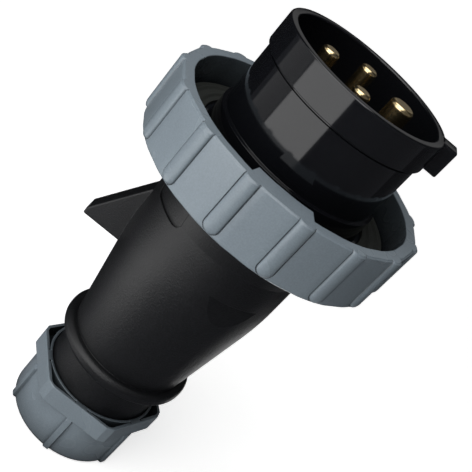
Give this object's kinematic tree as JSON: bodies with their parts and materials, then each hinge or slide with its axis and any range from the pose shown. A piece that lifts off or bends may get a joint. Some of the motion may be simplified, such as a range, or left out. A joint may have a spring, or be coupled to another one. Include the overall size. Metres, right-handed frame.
{
  "type": "industrial plug",
  "caption": "Round watertight industrial plug with recessed contact pins in a keyed collar, a turning bayonet ring and a screwed cable gland.",
  "frame": {"origin": "centre of the cable entry in the gland nut's outer face, on which the plug stands", "axes": "+Z along the plug's axis towards the contact pins, +X towards the key and the earth pin"},
  "size_m": [0.0784, 0.078, 0.1415],
  "materials": {
    "shroud_plastic": "glossy moulded polyamide, black",
    "housing_plastic": "matt textured polyamide, black",
    "grey_plastic": "satin moulded polyamide, blue-grey",
    "carrier_plastic": "matt heat-resistant polyamide, black",
    "cage_plastic": "natural satin polyamide, grey",
    "washer_plastic": "smooth acetal, white",
    "gasket_rubber": "matt rubber, dark grey-green",
    "seal_rubber": "matt rubber, black",
    "brass": "turned brass, lightly polished",
    "screw_steel": "zinc-plated steel"
  },
  "bodies": {
    "plug_body": {"shroud": "shroud_plastic", "face_gasket": "gasket_rubber", "earth_pin": "brass", "phase_pin_1": "brass", "phase_pin_2": "brass", "phase_pin_3": "brass", "earth_terminal_screw": "screw_steel", "phase_terminal_screws": "screw_steel", "retainer_screws": "screw_steel", "pin_carrier": "carrier_plastic", "pin_retainer": "carrier_plastic", "carrier_seal": "seal_rubber", "housing_seal": "seal_rubber", "rear_housing": "housing_plastic", "gland_seal": "seal_rubber", "seal_insert": "seal_rubber"},
    "ring": {"bayonet_ring": "grey_plastic"},
    "gland_follower": {"slip_washer": "washer_plastic", "gland_cage": "cage_plastic"},
    "nut": {"gland_nut": "grey_plastic"}
  },
  "joints": [
    {"name": "ring_turn", "type": "hinge", "parent": "plug_body", "child": "ring", "pos_m": [0, 0, 0.1026], "axis": [0, 0, 1], "range_deg": [0, 45]},
    {"name": "gland_slide", "type": "slide", "parent": "plug_body", "child": "gland_follower", "axis": [0, 0, -1], "range_m": [0, 0.006]},
    {"name": "nut_turn", "type": "hinge", "parent": "gland_follower", "child": "nut", "pos_m": [0, 0, 0], "axis": [0, 0, -1], "range_deg": [0, 720]}
  ],
  "couplings": [
    {"joint": "gland_slide", "follows": "nut_turn", "m_per_rad": 0.00047746}
  ]
}
